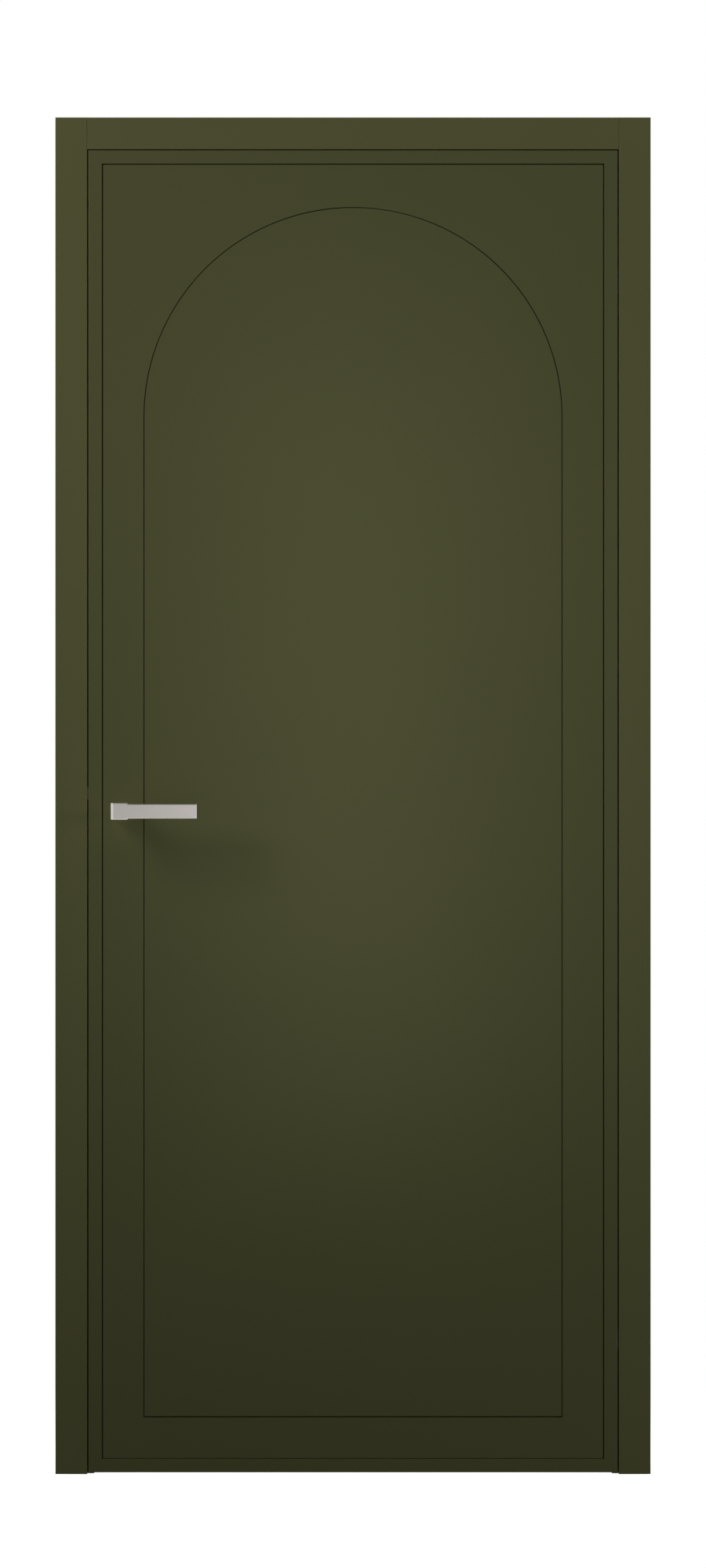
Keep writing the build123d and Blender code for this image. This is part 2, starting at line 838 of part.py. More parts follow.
# Levers: a square neck that carries a flat bar, bored for the spindle
hub_back = -rose_thickness - rose_gap
bar_back = -lever_reach + bar_thickness
shoulder = (hub_size - bar_height) / 2

with BuildPart() as front_lever:
    with BuildSketch(front_view(-lever_reach)):
        with Locations((lever_x, lever_z)):
            Rectangle(hub_size, hub_size)
    extrude(amount=-(lever_reach + hub_back))
    chamfer(front_lever.edges().filter_by(Axis.Y).group_by(Axis.X)[-1], shoulder)
    chamfer(front_lever.edges().filter_by(Axis.Z).group_by(Axis.X)[0].sort_by(Axis.Y)[0], hub_bevel)
    with BuildSketch(plan_view(lever_z - bar_height / 2)):
        with BuildLine():
            Polyline(
                (lever_x, -lever_reach),
                (lever_x - hub_size / 2 + lever_length, -lever_reach),
                (lever_x - hub_size / 2 + lever_length, bar_back),
                (lever_x + hub_size / 2 + neck_radius, bar_back),
            )
            RadiusArc(
                (lever_x + hub_size / 2 + neck_radius, bar_back),
                (lever_x + hub_size / 2, bar_back + neck_radius),
                neck_radius,
            )
            Polyline(
                (lever_x + hub_size / 2, bar_back + neck_radius),
                (lever_x, bar_back + neck_radius),
                (lever_x, -lever_reach),
            )
        make_face()
    extrude(amount=bar_height)
    chamfer(front_lever.faces().sort_by(Axis.Y)[0].edges(), lever_bevel)
    with BuildSketch(front_view(hub_back)):
        with Locations((lever_x, lever_z)):
            Circle(journal_radius)
    extrude(amount=-(journal_depth - hub_back))
    with BuildSketch(front_view(journal_depth)):
        with Locations((lever_x, lever_z)):
            Rectangle(spindle_size + 2 * spindle_clearance, spindle_size + 2 * spindle_clearance)
    extrude(amount=journal_depth - hub_back + spindle_insertion, mode=Mode.SUBTRACT)
    with BuildSketch(plan_view(lever_z - hub_size / 2)):
        with Locations((lever_x, hub_back - grub_depth)):
            Circle(grub_radius + screw_clearance)
    extrude(amount=hub_size / 2, mode=Mode.SUBTRACT)
keep(front_lever.part, "front_lever")
keep(mirrored(front_lever.part, mid_plane), "rear_lever")

with BuildPart() as spindle:
    spindle_front = hub_back - spindle_insertion + case_room
    with BuildSketch(front_view(spindle_front)):
        with Locations((lever_x, lever_z)):
            Rectangle(spindle_size, spindle_size)
    extrude(amount=-2 * (leaf_middle - spindle_front))
keep(spindle.part, "spindle")

with BuildPart() as lever_grub_screws:
    with BuildSketch(plan_view(lever_z - hub_size / 2)):
        with Locations(
            (lever_x, hub_back - grub_depth),
            (lever_x, leaf_thickness - hub_back + grub_depth),
        ):
            Circle(grub_radius)
    extrude(amount=(hub_size - spindle_size) / 2)
keep(lever_grub_screws.part, "lever_grub_screws")

# Concealed hinges: the leaf's half is the jamb's half turned over
with BuildLine() as guide_path:
    CenterArc(
        (guide_inset + pivot_x, guide_depth - pivot_depth),
        link_length,
        right_angle + rest_angle,
        opening_angle,
    )
with BuildLine() as arm_path:
    Polyline(
        (pivot_x, pivot_depth),
        (pivot_x + root_elbow_out, pivot_depth + root_elbow_back),
        (0, 2 * pivot_depth),
        (-tail_elbow_inset, guide_depth),
        (-guide_inset, guide_depth),
    )
arm_pivots = [(pivot_x, pivot_depth), (0, 2 * pivot_depth)]


def near_level(seats, level):
    """The seats that belong to the hinge at a level."""
    return [place for place in seats if abs(place.origin.Z - level) < hinge_height]


def hinge_body(level, side):
    """Cast body with one pocket for both arms, a pivot seat above and a curved guide slot below."""
    with BuildPart() as body:
        with BuildSketch(hinge_face(level, side)):
            with Locations((hinge_middle, 0)):
                SlotOverall(hinge_height, hinge_width, rotation=right_angle)
        extrude(amount=hinge_depth)
        with BuildSketch(hinge_face(level, side)):
            with Locations(((pocket_front + pocket_back) / 2, 0)):
                Rectangle(pocket_back - pocket_front, 2 * pocket_half)
        extrude(amount=pocket_depth, mode=Mode.SUBTRACT)
        with BuildSketch(hinge_plane(level, side).offset(pocket_half)):
            with Locations(arm_pivots[0]):
                Circle(pivot_radius + pin_clearance)
        extrude(amount=pin_seat, mode=Mode.SUBTRACT)
        with BuildSketch(hinge_plane(level, side).offset(-pocket_half)):
            SlotArc(guide_path.wire(), 2 * (guide_radius + guide_slot_room))
        extrude(amount=-guide_slot_depth, mode=Mode.SUBTRACT)
        with Locations(*near_level(hinge_seats(side, hinge_screw_spacing), level)):
            CounterSinkHole(
                hinge_screw_radius + screw_clearance,
                hinge_screw_head_radius + screw_clearance,
                hinge_depth,
                right_angle,
            )
        with Locations(*near_level(hinge_seats(side, adjuster_spacing), level)):
            Hole(adjuster_radius + screw_clearance, adjuster_length)
    return body.part


def hinge_arm(level, side):
    """Bent arm from its own pivot, over the centre pin, to a peg in the other body's guide slot."""
    own = hinge_plane(level, side)
    with BuildPart() as arm:
        with BuildSketch(own.offset(arm_gap)):
            SlotArc(arm_path.wire(), arm_width)
            with Locations(*arm_pivots):
                Circle(eye_radius)
            with Locations((-guide_inset, guide_depth)):
                Circle(tail_radius)
            with Locations(*arm_pivots):
                Circle(pivot_radius + pin_clearance, mode=Mode.SUBTRACT)
        extrude(amount=arm_height)
        with BuildSketch(own.offset(arm_gap + arm_height)):
            with Locations((-guide_inset, guide_depth)):
                Circle(guide_radius)
        extrude(amount=arm_gap + guide_reach)
    return arm.part


def hinge_pin(level, side, place, start, length):
    """Plain round pin along a hinge's own upright."""
    with BuildPart() as pin:
        with BuildSketch(hinge_plane(level, side).offset(start)):
            with Locations(place):
                Circle(pivot_radius)
        extrude(amount=length)
    return pin.part


for name, level in hinge_levels.items():
    for half, side in (("frame", 1), ("leaf", -1)):
        keep(hinge_body(level, side), f"{name}_hinge_{half}_body")
        keep(hinge_arm(level, side), f"{name}_hinge_{half}_arm")
        keep(
            hinge_pin(level, side, arm_pivots[0], arm_gap, arm_height + arm_gap + pin_seat),
            f"{name}_hinge_{half}_pin",
        )
    reach = arm_gap + arm_height
    keep(hinge_pin(level, 1, arm_pivots[1], -reach, 2 * reach), f"{name}_hinge_centre_pin")

for half, side in (("frame", 1), ("leaf", -1)):
    fixings = hinge_seats(side, hinge_screw_spacing)
    keep(
        countersunk_screws(fixings, hinge_screw_head_radius, hinge_screw_radius, hinge_screw_length),
        f"hinge_{half}_screws",
    )
    with BuildPart() as adjusters:
        with Locations(*hinge_seats(side, adjuster_spacing)):
            Cylinder(adjuster_radius, adjuster_length, align=(Align.CENTER, Align.CENTER, Align.MAX))
    keep(adjusters.part, f"hinge_{half}_adjusters")
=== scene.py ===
# %% [markdown]
# An interior door in its frame: a painted leaf with a milled arch line, hung on concealed hinges, with a square
# lever latch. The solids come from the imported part, in metres, with the front face looking along -Y. This
# script gives them their finishes, adds the small fasteners' drives, and sets up the camera and the studio.

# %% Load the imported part
import json
import math

import bmesh
import bpy
from mathutils import Matrix, Vector


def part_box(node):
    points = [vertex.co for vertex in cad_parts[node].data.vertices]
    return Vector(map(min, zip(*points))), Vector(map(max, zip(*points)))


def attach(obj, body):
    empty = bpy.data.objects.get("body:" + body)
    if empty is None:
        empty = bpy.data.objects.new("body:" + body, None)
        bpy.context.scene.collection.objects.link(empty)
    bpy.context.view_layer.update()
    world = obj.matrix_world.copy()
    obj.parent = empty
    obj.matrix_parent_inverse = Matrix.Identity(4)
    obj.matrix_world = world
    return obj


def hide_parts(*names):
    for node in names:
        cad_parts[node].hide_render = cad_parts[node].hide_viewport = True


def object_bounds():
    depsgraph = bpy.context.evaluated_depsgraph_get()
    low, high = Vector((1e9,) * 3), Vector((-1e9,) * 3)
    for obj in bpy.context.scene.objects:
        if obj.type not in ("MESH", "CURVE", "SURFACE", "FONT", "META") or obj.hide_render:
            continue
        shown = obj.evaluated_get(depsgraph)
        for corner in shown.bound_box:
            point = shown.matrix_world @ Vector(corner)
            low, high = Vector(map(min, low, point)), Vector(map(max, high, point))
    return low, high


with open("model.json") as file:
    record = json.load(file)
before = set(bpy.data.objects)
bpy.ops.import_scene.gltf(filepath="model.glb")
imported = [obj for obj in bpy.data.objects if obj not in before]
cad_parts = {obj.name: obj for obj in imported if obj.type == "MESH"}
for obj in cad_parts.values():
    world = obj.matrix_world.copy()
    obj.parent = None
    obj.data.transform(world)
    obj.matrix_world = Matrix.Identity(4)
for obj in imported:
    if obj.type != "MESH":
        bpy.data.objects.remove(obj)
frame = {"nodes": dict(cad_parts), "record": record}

scene = bpy.context.scene
cad_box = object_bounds()
print("nodes", len(frame["nodes"]), "box", [round(v, 4) for corner in cad_box for v in corner])

# %% [markdown]
# The photograph is a front view with almost no perspective: the gaps on both sides look the same, and the
# stops show no depth. A very long lens from far away gives that. In a portrait frame the sensor's width lies
# along the tall side, so the lens follows from the height that the picture covers.

# %% Camera
SENSOR_MM = 36.0
DISTANCE = 35.0
PICTURE_HEIGHT = 2.3716
PICTURE_MIDDLE = 1.0438
leaf_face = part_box("front_skin")[0].y

camera_data = bpy.data.cameras.new("long_lens")
camera_data.sensor_width = SENSOR_MM
camera_data.lens = SENSOR_MM * DISTANCE / PICTURE_HEIGHT
camera_data.clip_end = 2 * DISTANCE
camera = bpy.data.objects.new("long_lens", camera_data)
camera.location = (0, leaf_face - DISTANCE, PICTURE_MIDDLE)
camera.rotation_euler = (math.radians(90), 0, 0)
scene.collection.objects.link(camera)
scene.camera = camera
scene.view_settings.view_transform = "Standard"
scene.view_settings.look = "None"
print("lens", round(camera_data.lens, 1), "mm at", DISTANCE, "m")

# %% [markdown]
# A few helpers serve every finish. Colours are written as the hex values that a screen shows, and the shader
# needs them linear. One function adds a node, sets what it is given and links its inputs. Patterns are sized in
# millimetres, as they would be measured on the real surface.


# %% Helpers for colours and nodes
def linear(hex_colour):
    """sRGB hex text as a linear colour."""
    channels = [int(hex_colour[i:i + 2], 16) / 255 for i in (1, 3, 5)]
    return [c / 12.92 if c <= 0.04045 else ((c + 0.055) / 1.055) ** 2.4 for c in channels] + [1.0]


def add(tree, kind, settings=None, values=None, links=None):
    """One node with its settings, its input values and its incoming links."""
    node = tree.nodes.new(kind)
    for name, value in (settings or {}).items():
        setattr(node, name, value)
    for name, value in (values or {}).items():
        node.inputs[name].default_value = value
    for name, socket in (links or {}).items():
        tree.links.new(socket, node.inputs[name])
    return node


def per_metre(size_mm):
    """Pattern scale for features of a real size in millimetres."""
    return 1000 / size_mm


def new_material(name):
    """Empty node material with its shader and object coordinates."""
    material = bpy.data.materials.new(name)
    material.use_nodes = True
    tree = material.node_tree
    shader = tree.nodes["Principled BSDF"]
    coordinates = add(tree, "ShaderNodeTexCoord").outputs["Object"]
    return material, tree, shader, coordinates


# %% [markdown]
# The stage is a plain pale floor in front of white. The photograph's white has no horizon, so the floor glows
# and throws no light back on the part.

# %% Floor
FLOOR_RADIUS = 5.0
FLOOR_SEGMENTS = 96
FLOOR_DROP = 0.0005
FLOOR_SPECK_MM = 40
FLOOR_GLOW = 0.92
floor_mesh = bpy.data.meshes.new("floor")
bm = bmesh.new()
bmesh.ops.create_circle(bm, cap_ends=True, segments=FLOOR_SEGMENTS, radius=FLOOR_RADIUS)
bmesh.ops.translate(bm, verts=bm.verts, vec=(0, 0, cad_box[0].z - FLOOR_DROP))
bm.to_mesh(floor_mesh)
bm.free()
floor = bpy.data.objects.new("floor", floor_mesh)
scene.collection.objects.link(floor)
floor.visible_diffuse = False

floor_paint, tree, shader, coordinates = new_material("floor_paint")
speck = add(tree, "ShaderNodeTexNoise", values={"Scale": per_metre(FLOOR_SPECK_MM)},
            links={"Vector": coordinates})
tone = add(tree, "ShaderNodeMix", {"data_type": "RGBA"},
           values={"A": linear("#C4C4C2"), "B": linear("#C8C8C6")}, links={"Factor": speck.outputs["Fac"]})
tree.links.new(tone.outputs["Result"], shader.inputs["Base Color"])
shader.inputs["Roughness"].default_value = 0.9
shader.inputs["Emission Color"].default_value = linear("#FFFFFF")
shader.inputs["Emission Strength"].default_value = FLOOR_GLOW
floor_mesh.materials.append(floor_paint)
print("floor at", round(cad_box[0].z, 4))

# %% [markdown]
# The surround is white to look at and weak as a light, so that the lamps can shape the tones.

# %% White surround
SURROUND_SEEN = 1.0
SURROUND_LIGHT = 0.077
world = bpy.data.worlds.new("white_surround")
scene.world = world
world.use_nodes = True
tree = world.node_tree
seen = add(tree, "ShaderNodeLightPath").outputs["Is Camera Ray"]
strength = add(tree, "ShaderNodeMapRange", values={"To Min": SURROUND_LIGHT, "To Max": SURROUND_SEEN},
               links={"Value": seen})
background = tree.nodes["Background"]
background.inputs["Color"].default_value = linear("#FFFFFF")
tree.links.new(strength.outputs["Result"], background.inputs["Strength"])
print("surround seen at", SURROUND_SEEN, "and lighting at", SURROUND_LIGHT)

# %% [markdown]
# The light in the photograph is brightest in an upright oval above the lever and fades to the sides, the top
# and, most of all, the floor: a narrow upright lamp close in front of the leaf gives that oval. The lever's
# soft shadow falls to the lower right, so the strongest lamp stands high and far to the left, and its light
# rakes across the leaf. One on the right evens the casings, and a small one above lifts the top. The lamps at
# the sides, overhead and behind stay out of the front face's sight and keep the edges and the back readable
# from other angles.


# %% Lamps
def soft_lamp(name, place, target, width, height, power):
    """Area lamp that looks at a point, unseen itself."""
    data = bpy.data.lights.new(name, "AREA")
    data.shape = "RECTANGLE"
    data.size = width
    data.size_y = height
    data.energy = power
    lamp = bpy.data.objects.new(name, data)
    lamp.location = place
    lamp.rotation_euler = (Vector(target) - Vector(place)).to_track_quat("-Z", "Y").to_euler()
    lamp.visible_camera = False
    scene.collection.objects.link(lamp)
    return lamp


# Each row: name, place, the point it looks at, width, height, power in watts.
LAMPS = (
    ("oval_lamp", (0.0, -0.531, 1.15), (0.0, 0.0, 1.15), 0.1, 1.2, 1.32),
    ("high_left_lamp", (-2.6, -1.03, 2.8), (-2.6, 0.0, 2.8), 1.2, 1.8, 119.0),
    ("right_front_lamp", (2.6, -1.03, 1.4), (2.6, 0.0, 1.4), 0.6, 0.6, 50.0),
    ("high_front_lamp", (0.6, -1.03, 2.8), (0.6, 0.0, 2.8), 0.8, 0.8, 2.9),
    ("left_lamp", (-2.6, 0.9, 1.4), (0.0, 0.0, 1.1), 0.6, 2.0, 14.0),
    ("right_lamp", (2.6, 0.9, 1.4), (0.0, 0.0, 1.1), 0.6, 2.0, 20.0),
    ("overhead_lamp", (0.0, 0.7, 3.3), (0.0, 0.0, 1.0), 1.6, 0.6, 22.0),
    ("back_lamp", (1.4, 2.6, 2.4), (0.0, 0.0, 1.0), 1.6, 1.6, 18.0),
    ("back_fill_lamp", (-1.8, 2.4, 1.4), (0.0, 0.0, 0.9), 1.6, 1.6, 14.0),
)
lamps = {row[0]: soft_lamp(*row) for row in LAMPS}
print("lamps", len(lamps))

# %% [markdown]
# The lever stands so close to the oval's lamp that it would cast a second shadow to its left and leave a bright
# edge above it, and the lamp on the right would do the same. The photograph shows neither. Blender lets a
# lamp's light pass chosen solids, so these two pass the front lever and its rose, and one shadow is left.

# %% Lamps that pass the lever
passed_solids = bpy.data.collections.new("lever_and_rose")
for node in ("front_lever", "front_rose"):
    passed_solids.objects.link(frame["nodes"][node])
for member in passed_solids.collection_objects:
    member.light_linking.link_state = "EXCLUDE"
for name in ("oval_lamp", "right_front_lamp"):
    lamps[name].light_linking.blocker_collection = passed_solids

# %% [markdown]
# The leaf and frame are fibreboard sprayed with olive enamel. Sprayed enamel is even in colour, satin rather
# than glossy, and has a faint ripple like orange peel, a few millimetres across. The casings take a copy of the
# same enamel painted a touch lighter, as painted light for the extra light that falls on them.


# %% Olive enamel
def sprayed_enamel(name, dark, light, ripple_mm=3.0, drift_mm=260.0):
    """Satin spray paint: slow drift of tone, fine ripple, even sheen."""
    material, tree, shader, coordinates = new_material(name)
    drift = add(tree, "ShaderNodeTexNoise", values={"Scale": per_metre(drift_mm), "Detail": 3.0},
                links={"Vector": coordinates})
    tone = add(tree, "ShaderNodeMix", {"data_type": "RGBA"},
               values={"A": linear(dark), "B": linear(light)}, links={"Factor": drift.outputs["Fac"]})
    tree.links.new(tone.outputs["Result"], shader.inputs["Base Color"])
    ripple = add(tree, "ShaderNodeTexNoise", values={"Scale": per_metre(ripple_mm), "Detail": 2.0},
                 links={"Vector": coordinates})
    sheen = add(tree, "ShaderNodeMapRange", values={"To Min": 0.56, "To Max": 0.64},
                links={"Value": ripple.outputs["Fac"]})
    tree.links.new(sheen.outputs["Result"], shader.inputs["Roughness"])
    peel = add(tree, "ShaderNodeBump", values={"Strength": 0.12, "Distance": 0.0002},
               links={"Height": ripple.outputs["Fac"]})
    tree.links.new(peel.outputs["Normal"], shader.inputs["Normal"])
    shader.inputs["IOR"].default_value = 1.48
    shader.inputs["Specular IOR Level"].default_value = 0.1
    return material


leaf_enamel = sprayed_enamel("olive_enamel_on_fibreboard", dark="#585A38", light="#5C5D3A")
# The casings' copy of the enamel is painted a touch lighter: painted light for the extra light on the casings.
casing_enamel_painted_lighter = sprayed_enamel("olive_enamel_painted_lighter_on_casing", dark="#60613C", light="#646540")
print("enamel", leaf_enamel.name, casing_enamel_painted_lighter.name)

# %% [markdown]
# Inside the leaf are pine and pressed board, which show only when the leaf is taken apart: long grain lines a
# few millimetres apart, matt, with no lacquer.

# %% Bare timber
GRAIN_MM = 4
GRAIN_STRETCH = (1.0, 1.0, 0.06)
bare_timber, tree, shader, coordinates = new_material("bare_pine")
along = add(tree, "ShaderNodeMapping", values={"Scale": GRAIN_STRETCH}, links={"Vector": coordinates})
grain = add(tree, "ShaderNodeTexNoise",
            values={"Scale": per_metre(GRAIN_MM), "Detail": 6.0, "Distortion": 0.6},
            links={"Vector": along.outputs["Vector"]})
tone = add(tree, "ShaderNodeMix", {"data_type": "RGBA"},
           values={"A": linear("#B08A58"), "B": linear("#D9BE92")}, links={"Factor": grain.outputs["Fac"]})
tree.links.new(tone.outputs["Result"], shader.inputs["Base Color"])
dry = add(tree, "ShaderNodeMapRange", values={"To Min": 0.7, "To Max": 0.9},
          links={"Value": grain.outputs["Fac"]})
tree.links.new(dry.outputs["Result"], shader.inputs["Roughness"])
raised = add(tree, "ShaderNodeBump", values={"Strength": 0.25, "Distance": 0.0003},
             links={"Height": grain.outputs["Fac"]})
tree.links.new(raised.outputs["Normal"], shader.inputs["Normal"])
print("timber", bare_timber.name)

# %% [markdown]
# Lever, roses, face plate, strike and bolt are plated with satin nickel: a warm grey metal whose fine brushing
# spreads every reflection. Real brushing is finer than the 0.4 mm lines here, which are as coarse as they need
# to be to show. The hinge bodies and arms carry a matt nickel coating over cast zinc, and the screws, pins and
# lock case are bright zinc on steel. One function makes all three, each with its own lines or speckle.

# %% Metals
BRUSHED_ALONG_X = (0.04, 1.0, 1.0)
SPECKLED = (1.0, 1.0, 1.0)
ROUGHNESS_SPREAD = 0.05


def plated_metal(name, dark, light, roughness, line_mm, stretch):
    """Metal with fine lines or speckle of a real size, stretched along the brushing."""
    material, tree, shader, coordinates = new_material(name)
    along = add(tree, "ShaderNodeMapping", values={"Scale": stretch}, links={"Vector": coordinates})
    lines = add(tree, "ShaderNodeTexNoise", values={"Scale": per_metre(line_mm), "Detail": 4.0},
                links={"Vector": along.outputs["Vector"]})
    tone = add(tree, "ShaderNodeMix", {"data_type": "RGBA"},
               values={"A": linear(dark), "B": linear(light)}, links={"Factor": lines.outputs["Fac"]})
    tree.links.new(tone.outputs["Result"], shader.inputs["Base Color"])
    spread = add(tree, "ShaderNodeMapRange",
                 values={"To Min": roughness - ROUGHNESS_SPREAD, "To Max": roughness + ROUGHNESS_SPREAD},
                 links={"Value": lines.outputs["Fac"]})
    tree.links.new(spread.outputs["Result"], shader.inputs["Roughness"])
    relief = add(tree, "ShaderNodeBump", values={"Strength": 0.1, "Distance": 0.00005},
                 links={"Height": lines.outputs["Fac"]})
    tree.links.new(relief.outputs["Normal"], shader.inputs["Normal"])
    shader.inputs["Metallic"].default_value = 1.0
    return material


satin_nickel = plated_metal("satin_nickel_plate", "#DED9D4", "#E6E1DC",
                            roughness=0.5, line_mm=0.4, stretch=BRUSHED_ALONG_X)
hinge_coating = plated_metal("nickel_coated_zinc_casting", "#9C9C9A", "#AAAAA8",
                             roughness=0.5, line_mm=0.8, stretch=SPECKLED)
bright_zinc = plated_metal("zinc_plated_steel", "#B4B7BA", "#C3C6C8",
                           roughness=0.34, line_mm=1.2, stretch=SPECKLED)
print("metals", satin_nickel.name, hinge_coating.name, bright_zinc.name)

# %% [markdown]
# The seals are extruded rubber with fine lines along their length, and the strike's box is moulded plastic with
# a spark-eroded grain. Both are near black, and only their sheen tells them apart.

# %% Rubber and plastic
EXTRUDED_ALONG_Z = (1.0, 1.0, 0.02)
MOULDED = (1.0, 1.0, 1.0)


def dull_black(name, dark, light, roughness, grain_mm, stretch):
    """Near-black moulded or extruded surface with a fine grain."""
    material, tree, shader, coordinates = new_material(name)
    along = add(tree, "ShaderNodeMapping", values={"Scale": stretch}, links={"Vector": coordinates})
    grain = add(tree, "ShaderNodeTexNoise", values={"Scale": per_metre(grain_mm), "Detail": 3.0},
                links={"Vector": along.outputs["Vector"]})
    tone = add(tree, "ShaderNodeMix", {"data_type": "RGBA"},
               values={"A": linear(dark), "B": linear(light)}, links={"Factor": grain.outputs["Fac"]})
    tree.links.new(tone.outputs["Result"], shader.inputs["Base Color"])
    relief = add(tree, "ShaderNodeBump", values={"Strength": 0.2, "Distance": 0.0001},
                 links={"Height": grain.outputs["Fac"]})
    tree.links.new(relief.outputs["Normal"], shader.inputs["Normal"])
    shader.inputs["Roughness"].default_value = roughness
    return material


seal_rubber = dull_black("extruded_rubber", "#161616", "#202020",
                         roughness=0.75, grain_mm=0.6, stretch=EXTRUDED_ALONG_Z)
box_plastic = dull_black("moulded_black_plastic", "#1A1A1B", "#242426",
                         roughness=0.55, grain_mm=0.8, stretch=MOULDED)
print("blacks", seal_rubber.name, box_plastic.name)

# %% [markdown]
# Each solid takes the finish of its slot in the record. Only the casings differ: they take the enamel painted
# lighter, as painted light.

# %% Finishes on the solids
FINISHES = {
    "olive_enamel": leaf_enamel,
    "core_timber": bare_timber,
    "satin_nickel": satin_nickel,
    "hinge_coating": hinge_coating,
    "zinc_steel": bright_zinc,
    "black_rubber": seal_rubber,
    "black_plastic": box_plastic,
}
for subpart in frame["record"]["subparts"]:
    node = subpart["node"]
    finish = casing_enamel_painted_lighter if "casing" in node else FINISHES[subpart["material_slot"]]
    mesh = frame["nodes"][node].data
    mesh.materials.clear()
    mesh.materials.append(finish)

# %% [markdown]
# Every screw in the part is a plain cone or pin in the solids. On the real ones a drive is pressed into the end
# and a thread runs down the shank, and both show when the leaf stands open. A screw is drawn from the top down,
# standing at the origin: a circle for the rim, the drive's outline bridged to it and pushed in, then the side,
# each ring extruded from the last. The thread is drawn as ridges, which look the same at this size.

# %% Steps that every screw shares
RIM_SEGMENTS = 24
THREAD_ROOT_SHARE = 0.8


def circle_edges(bm, segments, radius):
    """Edges of a new circle about the origin."""
    corners = bmesh.ops.create_circle(bm, segments=segments, radius=radius)["verts"]
    return list(dict.fromkeys(edge for corner in corners for edge in corner.link_edges))


def extruded_ring(bm, ring, down, grow):
    """Extrudes a ring of edges down its axis and scales it about the axis."""
    made = bmesh.ops.extrude_edge_only(bm, edges=ring)["geom"]
    corners = [g for g in made if isinstance(g, bmesh.types.BMVert)]
    bmesh.ops.translate(bm, verts=corners, vec=(0, 0, -down))
    bmesh.ops.scale(bm, verts=corners, vec=(grow, grow, 1))
    return [g for g in made if isinstance(g, bmesh.types.BMEdge) and all(v in corners for v in g.verts)]


def drive_recess(bm, rim, outline, depth, taper):
    """Bridges the rim to a drive's outline, pushes the outline in and closes its floor."""
    bmesh.ops.bridge_loops(bm, edges=rim + outline)
    bmesh.ops.edgeloop_fill(bm, edges=extruded_ring(bm, outline, depth, taper))


def threaded_side(bm, ring, run, pitch):
    """Extrudes a ring down in ridges that fill the run evenly."""
    turns = int(run / pitch)
    for _ in range(turns):
        ring = extruded_ring(bm, ring, run / turns / 2, THREAD_ROOT_SHARE)
        ring = extruded_ring(bm, ring, run / turns / 2, 1 / THREAD_ROOT_SHARE)
    return ring


def fastener_group(name, node, body, screw, seats):
    """Sets copies of one screw in their seats, as an object that stands for the plain ones of a node."""
    one_screw = bpy.data.meshes.new("one_screw")
    screw.to_mesh(one_screw)
    screw.free()
    bm = bmesh.new()
    for place, outward in seats:
        first = len(bm.verts)
        bm.from_mesh(one_screw)
        bm.verts.ensure_lookup_table()
        turned = Vector((0, 0, 1)).rotation_difference(Vector(outward)).to_matrix().to_4x4()
        bmesh.ops.transform(bm, matrix=Matrix.Translation(place) @ turned, verts=bm.verts[first:])
    bpy.data.meshes.remove(one_screw)
    mesh = bpy.data.meshes.new(name)
    bm.to_mesh(mesh)
    bm.free()
    mesh.materials.append(bright_zinc)
    screws = bpy.data.objects.new(name, mesh)
    scene.collection.objects.link(screws)
    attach(screws, body)
    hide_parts(node)
    print(name, len(seats), "screws,", len(mesh.polygons), "faces")


# %% [markdown]
# Hinges, strike, face plate, roses and frame corners are held by countersunk screws with a driver's cross. The
# cross is drawn with as many corners as the rim, so that the bridge between them closes evenly.

# %% A countersunk screw
CROSS_SHARE = 0.52
CROSS_WING_SHARE = 0.16
CROSS_DEPTH_SHARE = 0.5
CROSS_TAPER = 0.55
THREAD_PITCH = 0.0016
TIP_SHARE = 0.08


def cross_head_screw(head_radius, shank_radius, length):
    """One cross-head screw, its head flush at the origin and looking up."""
    bm = bmesh.new()
    rim = circle_edges(bm, RIM_SEGMENTS, head_radius)
    wing, arm = CROSS_WING_SHARE * head_radius, CROSS_SHARE * head_radius
    middle = (arm + wing) / 2
    quarter = [(arm, -wing), (arm, 0), (arm, wing), (middle, wing), (wing, wing), (wing, middle)]
    corners = []
    for turn in range(4):
        for x, y in quarter:
            for _ in range(turn):
                x, y = -y, x
            corners.append(bm.verts.new((x, y, 0)))
    cross = [bm.edges.new((corners[i - 1], corners[i])) for i in range(len(corners))]
    drive_recess(bm, rim, cross, CROSS_DEPTH_SHARE * head_radius, CROSS_TAPER)

    cone, point = head_radius - shank_radius, 2 * shank_radius
    neck = extruded_ring(bm, rim, cone, shank_radius / head_radius)
    end = threaded_side(bm, neck, length - cone - point, THREAD_PITCH)
    bmesh.ops.edgeloop_fill(bm, edges=extruded_ring(bm, end, point, TIP_SHARE))
    bmesh.ops.recalc_face_normals(bm, faces=bm.faces)
    return bm


# %% [markdown]
# The seats follow from the solids' own boxes. A group's box ends at its outermost heads, so its corners give
# the head radius, the face that the heads lie in and the levels of the screws.


# %% Screws of hinges, strike and face plate
def seats_in_face(node, outward, spacing=None):
    """Radius, length and seats of two screws, or two pairs at a spacing, in a face that looks along X."""
    low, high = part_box(node)
    radius = (high.y - low.y) / 2
    bottom, top = low.z + radius, high.z - radius
    levels = (bottom, bottom + spacing, top - spacing, top) if spacing else (bottom, top)
    face = low.x if outward < 0 else high.x
    return radius, high.x - low.x, [((face, low.y + radius, z), (outward, 0, 0)) for z in levels]


HINGE_SCREW_SPACING = 0.076
HINGE_SCREW_SHANK = 0.0022
PLATE_SCREW_SHANK = 0.00175
for name, node, body, outward, spacing, shank in (
    ("hinge_screws_in_jamb", "hinge_frame_screws", "frame", -1, HINGE_SCREW_SPACING, HINGE_SCREW_SHANK),
    ("hinge_screws_in_leaf", "hinge_leaf_screws", "leaf", 1, HINGE_SCREW_SPACING, HINGE_SCREW_SHANK),
    ("strike_plate_screws", "strike_screws", "frame", 1, None, PLATE_SCREW_SHANK),
    ("face_plate_screws", "faceplate_screws", "leaf", -1, None, PLATE_SCREW_SHANK),
):
    radius, length, seats = seats_in_face(node, outward, spacing)
    fastener_group(name, node, body, cross_head_screw(radius, shank, length), seats)

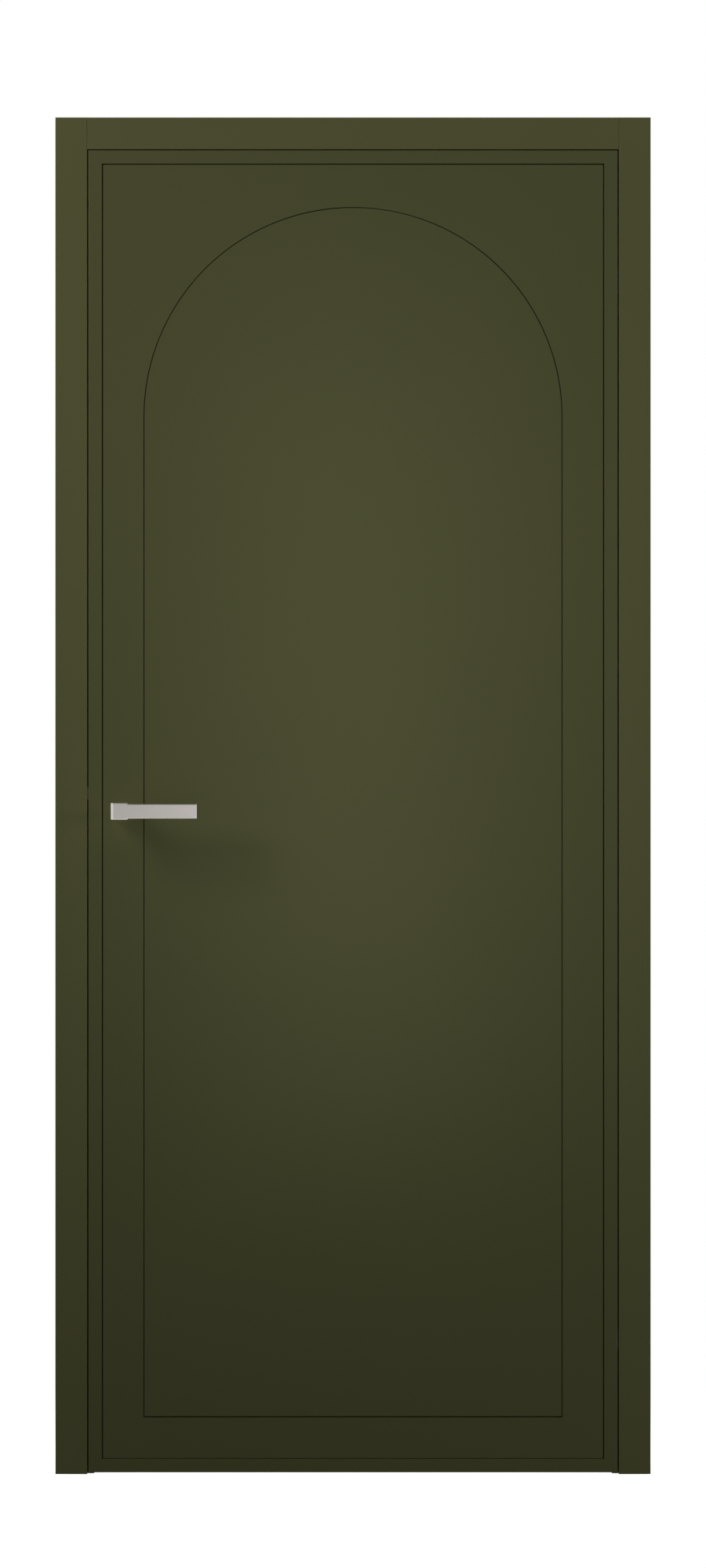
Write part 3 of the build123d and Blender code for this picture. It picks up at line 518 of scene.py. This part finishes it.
# %% [markdown]
# The frame's corner screws go in from both sides, and the rose screws from the front and the back, so both
# groups' boxes end at heads on two sides.

# %% Screws of frame corners and roses
CORNER_SCREW_SHANK = 0.0025
CORNER_SCREW_LENGTH = 0.070
low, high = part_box("frame_corner_screws")
radius = (high.z - low.z) / 2
seats = [((x, y, low.z + radius), (math.copysign(1, x), 0, 0))
         for x in (low.x, high.x) for y in (low.y + radius, high.y - radius)]
fastener_group("corner_screws", "frame_corner_screws", "frame",
               cross_head_screw(radius, CORNER_SCREW_SHANK, CORNER_SCREW_LENGTH), seats)

ROSE_SCREW_HEAD = 0.0024
ROSE_SCREW_SHANK = 0.0012
ROSE_SCREW_LENGTH = 0.014
low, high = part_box("rose_screws")
seats = [((x, y, z), (0, math.copysign(1, y - (low.y + high.y) / 2), 0))
         for y in (low.y, high.y)
         for x, z in ((low.x + ROSE_SCREW_HEAD, low.z + ROSE_SCREW_HEAD),
                      (high.x - ROSE_SCREW_HEAD, high.z - ROSE_SCREW_HEAD))]
fastener_group("rose_plate_screws", "rose_screws", "leaf",
               cross_head_screw(ROSE_SCREW_HEAD, ROSE_SCREW_SHANK, ROSE_SCREW_LENGTH), seats)

# %% [markdown]
# The levers are locked on their spindle by small set screws from below, and the hinges are trued up by
# adjusting screws in their faces. Both are headless, with a hexagon socket for a key and a finer thread. The
# same steps make them, and the rim's edge is eased first.

# %% A headless screw
HEXAGON_SIDES = 6
HEXAGON_SHARE = 0.55
HEXAGON_DEPTH_SHARE = 0.9
RIM_EASE_SHARE = 0.1
FINE_PITCH = 0.0008


def socket_screw(radius, length):
    """One headless screw with a hexagon socket, flush at the origin and looking up."""
    bm = bmesh.new()
    ease = RIM_EASE_SHARE * radius
    rim = circle_edges(bm, RIM_SEGMENTS, radius - ease)
    socket = circle_edges(bm, HEXAGON_SIDES, HEXAGON_SHARE * radius)
    drive_recess(bm, rim, socket, HEXAGON_DEPTH_SHARE * radius, taper=1.0)

    shoulder = extruded_ring(bm, rim, ease, radius / (radius - ease))
    end = threaded_side(bm, shoulder, length - ease, FINE_PITCH)
    bmesh.ops.edgeloop_fill(bm, edges=end)
    bmesh.ops.recalc_face_normals(bm, faces=bm.faces)
    return bm


# %% Set screws of the levers and adjusting screws of the hinges
low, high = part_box("lever_grub_screws")
radius = (high.x - low.x) / 2
seats = [((low.x + radius, y, low.z), (0, 0, -1)) for y in (low.y + radius, high.y - radius)]
fastener_group("lever_set_screws", "lever_grub_screws", "handle",
               socket_screw(radius, high.z - low.z), seats)

ADJUSTER_SPACING = 0.054
for name, node, body, outward in (
    ("adjusting_screws_in_jamb", "hinge_frame_adjusters", "frame", -1),
    ("adjusting_screws_in_leaf", "hinge_leaf_adjusters", "leaf", 1),
):
    radius, length, seats = seats_in_face(node, outward, ADJUSTER_SPACING)
    fastener_group(name, node, body, socket_screw(radius, length), seats)
